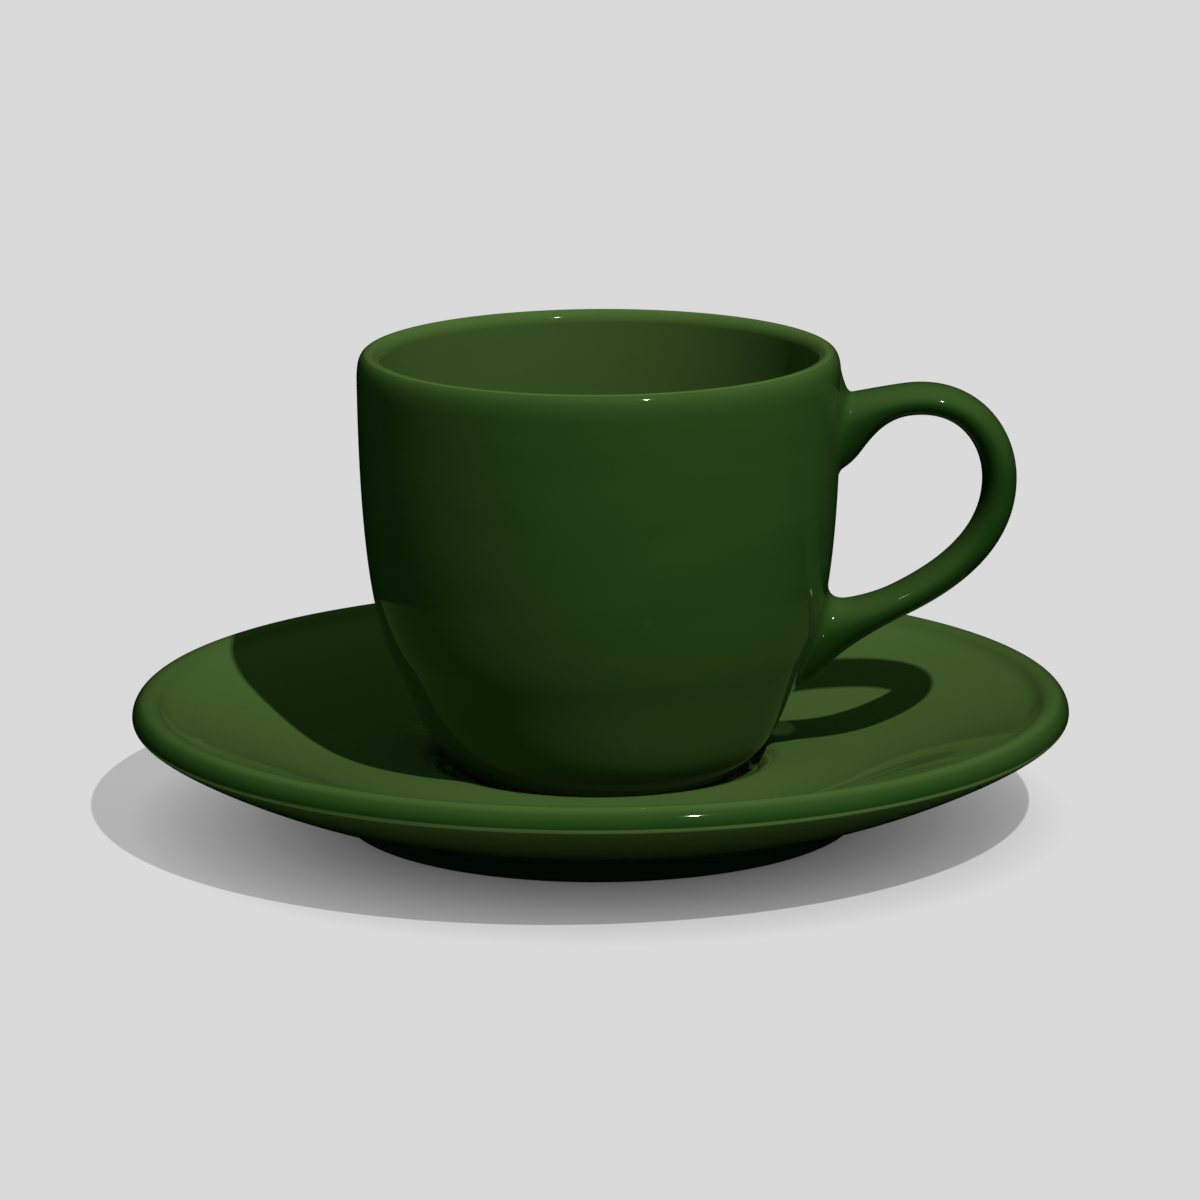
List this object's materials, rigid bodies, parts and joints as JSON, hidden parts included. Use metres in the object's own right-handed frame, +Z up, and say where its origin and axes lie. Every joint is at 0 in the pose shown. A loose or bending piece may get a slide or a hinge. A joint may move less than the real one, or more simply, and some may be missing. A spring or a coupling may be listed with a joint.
{
  "type": "coffee cup with saucer",
  "caption": "Glossy glazed ceramic coffee cup with a looped handle, standing in the well of a matching round saucer with a rolled lip and a foot ring",
  "frame": {"origin": "centre of the saucer's foot ring, on the surface that it stands on", "axes": "+Z up along the common axis of cup and saucer, +X towards the handle, +Y completes a right-handed frame"},
  "size_m": [0.15, 0.15, 0.0758],
  "materials": {
    "saucer_glaze": "glossy dark green glaze",
    "cup_glaze": "glossy dark green glaze",
    "handle_glaze": "glossy dark green glaze"
  },
  "bodies": {
    "saucer": {"saucer": "saucer_glaze"},
    "cup": {"cup_body": "cup_glaze", "handle": "handle_glaze"}
  },
  "joints": [
    {"name": "cup_lift", "type": "slide", "parent": "saucer", "child": "cup", "axis": [0, 0, 1], "range_m": [0, 0.1]}
  ]
}
